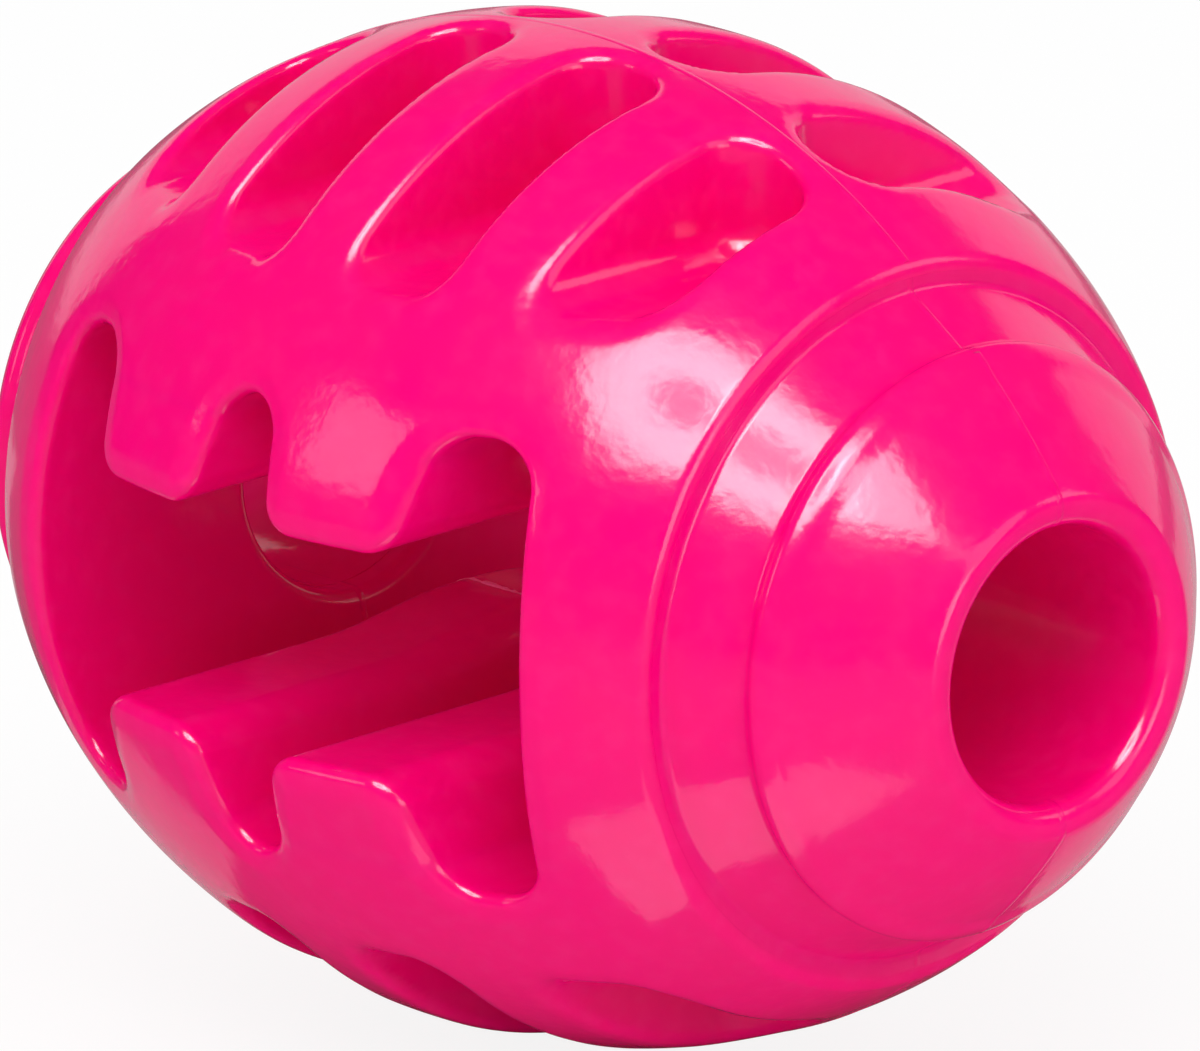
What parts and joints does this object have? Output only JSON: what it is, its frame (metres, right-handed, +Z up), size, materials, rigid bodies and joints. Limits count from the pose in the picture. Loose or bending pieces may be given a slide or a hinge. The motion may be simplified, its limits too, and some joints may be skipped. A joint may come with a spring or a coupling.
{
  "type": "rugby ball dog toy",
  "caption": "Oval soft rubber dog toy with a toothed window right through it for a chew, treat pockets round the ball and a bored nose at each end.",
  "frame": {"origin": "centre of the ball, on the axis of the bores, in the plane of the seam", "axes": "+X along the bores towards the right nose, -Y out of the front of the window, +Z up from the lower teeth to the upper teeth"},
  "size_m": [0.092, 0.0676, 0.0698],
  "materials": {
    "pink_rubber": "glossy moulded"
  },
  "bodies": {
    "ball": {"front_shell": "pink_rubber", "rear_shell": "pink_rubber", "right_nose": "pink_rubber", "left_nose": "pink_rubber"},
    "upper_right_tooth": {"upper_right_tooth": "pink_rubber"},
    "upper_left_tooth": {"upper_left_tooth": "pink_rubber"},
    "lower_right_tooth": {"lower_right_tooth": "pink_rubber"},
    "lower_left_tooth": {"lower_left_tooth": "pink_rubber"}
  },
  "joints": [
    {"name": "upper_right_lean", "type": "hinge", "parent": "ball", "child": "upper_right_tooth", "pos_m": [0.0092, 0, 0.0152], "axis": [0, 1, 0], "range_deg": [-12, 12], "stiffness_Nm_per_rad": 1.2},
    {"name": "upper_left_lean", "type": "hinge", "parent": "ball", "child": "upper_left_tooth", "pos_m": [-0.0092, 0, 0.0152], "axis": [0, 1, 0], "range_deg": [-12, 12], "stiffness_Nm_per_rad": 1.2},
    {"name": "lower_right_lean", "type": "hinge", "parent": "ball", "child": "lower_right_tooth", "pos_m": [0.0092, 0, -0.0152], "axis": [0, 1, 0], "range_deg": [-12, 12], "stiffness_Nm_per_rad": 1.2},
    {"name": "lower_left_lean", "type": "hinge", "parent": "ball", "child": "lower_left_tooth", "pos_m": [-0.0092, 0, -0.0152], "axis": [0, 1, 0], "range_deg": [-12, 12], "stiffness_Nm_per_rad": 1.2}
  ]
}
